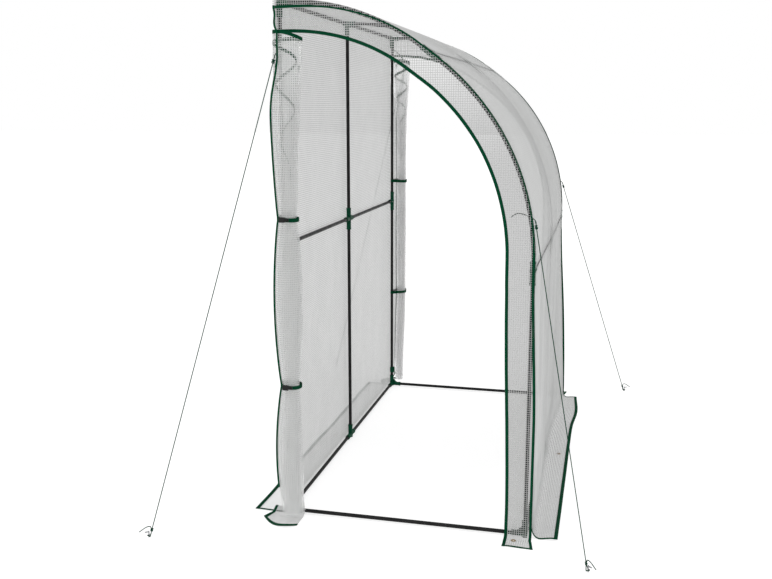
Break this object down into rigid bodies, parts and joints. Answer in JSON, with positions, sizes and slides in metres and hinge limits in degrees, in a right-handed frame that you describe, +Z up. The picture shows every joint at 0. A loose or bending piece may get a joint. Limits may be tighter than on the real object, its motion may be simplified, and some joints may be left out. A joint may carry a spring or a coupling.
{
  "type": "lean-to polytunnel greenhouse",
  "caption": "Lean-to walk-in polytunnel: a push-fit tube frame with a flat back and a curved roof and front, under a reinforced film cover whose end doors are rolled up and tied.",
  "frame": {"origin": "on the ground under the middle back post, at the sole of its base fitting", "axes": "+X from the flat back wall to the curved front, +Y from the near end to the far end, +Z up"},
  "size_m": [1.9154, 2.6476, 2.115],
  "materials": {
    "frame_steel": "dark grey powder coat",
    "fitting_plastic": "moulded dark green",
    "cover_film": "translucent film with a woven reinforcing grid",
    "edge_binding": "woven dark green tape",
    "strap_webbing": "woven dark green webbing",
    "buckle_plastic": "moulded black",
    "guy_cord": "braided dark green cord",
    "eyelet_brass": "dull brass",
    "peg_steel": "galvanised wire"
  },
  "bodies": {
    "root": {"near_back_post": "frame_steel", "middle_back_post": "frame_steel", "far_back_post": "frame_steel", "near_arch": "frame_steel", "middle_arch": "frame_steel", "far_arch": "frame_steel", "near_front_leg": "frame_steel", "middle_front_leg": "frame_steel", "far_front_leg": "frame_steel", "back_base_rail": "frame_steel", "back_middle_rail": "frame_steel", "ridge_rail": "frame_steel", "roof_purlin": "frame_steel", "knee_rail": "frame_steel", "front_base_rail": "frame_steel", "near_ground_bar": "frame_steel", "far_ground_bar": "frame_steel", "base_corner_fittings": "fitting_plastic", "base_tee_fittings": "fitting_plastic", "back_rail_fittings": "fitting_plastic", "ridge_fittings": "fitting_plastic", "purlin_fittings": "fitting_plastic", "knee_fittings": "fitting_plastic", "back_sheet": "cover_film", "roof_and_front_sheet": "cover_film", "near_end_panel": "cover_film", "far_end_panel": "cover_film", "back_skirt": "cover_film", "front_skirt": "cover_film", "front_end_flaps": "cover_film", "back_end_flaps": "cover_film", "near_edge_binding": "edge_binding", "far_edge_binding": "edge_binding", "near_opening_binding": "edge_binding", "far_opening_binding": "edge_binding", "skirt_bindings": "edge_binding", "eyelets": "eyelet_brass", "near_rolled_door": "cover_film", "far_rolled_door": "cover_film", "near_door_straps": "strap_webbing", "far_door_straps": "strap_webbing", "strap_buckles": "buckle_plastic", "near_guy_ropes": "guy_cord", "far_guy_ropes": "guy_cord", "guy_pegs": "peg_steel"}
  },
  "joints": []
}
